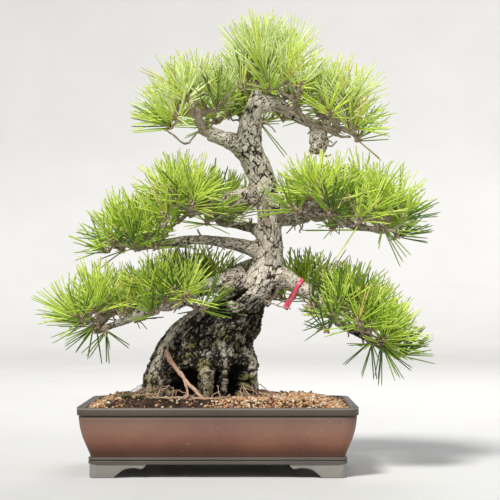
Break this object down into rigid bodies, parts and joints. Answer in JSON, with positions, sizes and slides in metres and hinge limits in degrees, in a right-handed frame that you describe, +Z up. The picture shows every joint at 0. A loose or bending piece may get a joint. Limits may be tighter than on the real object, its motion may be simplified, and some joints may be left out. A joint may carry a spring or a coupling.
{
  "type": "potted black pine bonsai",
  "caption": "Informal upright black pine bonsai with three tiers of needle pads and an exposed root flare, in a footed rectangular clay pot.",
  "frame": {"origin": "centre of the whole plant's footprint box, on the level surface that the pot's feet stand on", "axes": "+Z up, the longest extent; +X to the viewer's right along the pot's long side; +Y away from the viewer, the shortest extent"},
  "size_m": [0.6176, 0.364, 0.6859],
  "materials": {
    "pot_clay": "unglazed red-brown stoneware, satin",
    "foot_clay": "unglazed grey-brown stoneware, matte",
    "soil_grit": "loose grit of baked clay, lava and pumice, matte",
    "old_bark": "deeply plated old bark with moss at the foot, rough",
    "pale_bark": "grey-beige flaking bark, rough",
    "pine_needle": "stiff yellow-green needles, satin",
    "red_plastic": "thin blank plastic strip, satin"
  },
  "bodies": {
    "root": {"pot_body": "pot_clay", "foot_front_left": "foot_clay", "foot_front_right": "foot_clay", "foot_back_right": "foot_clay", "foot_back_left": "foot_clay", "soil": "soil_grit", "trunk": "old_bark", "surface_root_1": "pale_bark", "surface_root_2": "pale_bark", "surface_root_3": "pale_bark", "surface_root_4": "pale_bark", "bough_low_left": "pale_bark", "bough_low_left_front": "pale_bark", "bough_low_back_left": "pale_bark", "bough_low_right": "pale_bark", "bough_low_back_right": "pale_bark", "bough_mid_left": "pale_bark", "bough_mid_left_upper": "pale_bark", "bough_mid_back_left": "pale_bark", "bough_mid_right": "pale_bark", "bough_mid_right_front": "pale_bark", "bough_mid_back_right": "pale_bark", "bough_top_left": "pale_bark", "bough_top_back": "pale_bark", "bough_top_right": "pale_bark", "dead_stub": "pale_bark", "red_tag": "red_plastic", "foliage_low_left_outer": "pine_needle", "foliage_low_left_inner": "pine_needle", "foliage_low_back_left": "pine_needle", "foliage_low_right": "pine_needle", "foliage_low_back_right": "pine_needle", "foliage_mid_left_outer": "pine_needle", "foliage_mid_left_inner": "pine_needle", "foliage_mid_back_left": "pine_needle", "foliage_mid_right_outer": "pine_needle", "foliage_mid_right_inner": "pine_needle", "foliage_mid_back_right": "pine_needle", "foliage_top_left": "pine_needle", "foliage_top_back": "pine_needle", "foliage_apex": "pine_needle", "foliage_top_right": "pine_needle"}
  },
  "joints": []
}
